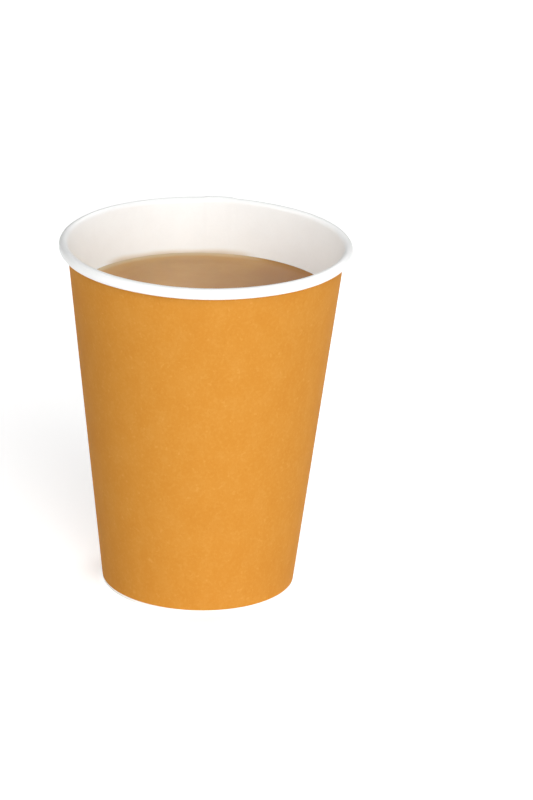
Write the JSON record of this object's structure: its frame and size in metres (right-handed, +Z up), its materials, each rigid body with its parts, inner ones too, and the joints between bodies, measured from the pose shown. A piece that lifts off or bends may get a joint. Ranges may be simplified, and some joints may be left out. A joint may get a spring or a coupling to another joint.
{
  "type": "masala chai",
  "caption": "Paper cup with a rolled rim and a recessed base, filled with milky spiced tea, to hold in the hand and drink from.",
  "frame": {"origin": "centre of the cup's footprint, on the surface it stands on", "axes": "+Z up along the cup's axis, -Y towards the viewer of the picture, seam of the side at the back on the +Y side"},
  "size_m": [0.09, 0.0903, 0.1115],
  "materials": {
    "printed_board": "matte ochre print on coated board, white inside and on the rim",
    "white_board": "white coated board, satin",
    "chai": "milky brown liquid, glossy"
  },
  "bodies": {
    "root": {"cup_wall": "printed_board", "cup_base": "white_board", "chai": "chai"}
  },
  "joints": []
}
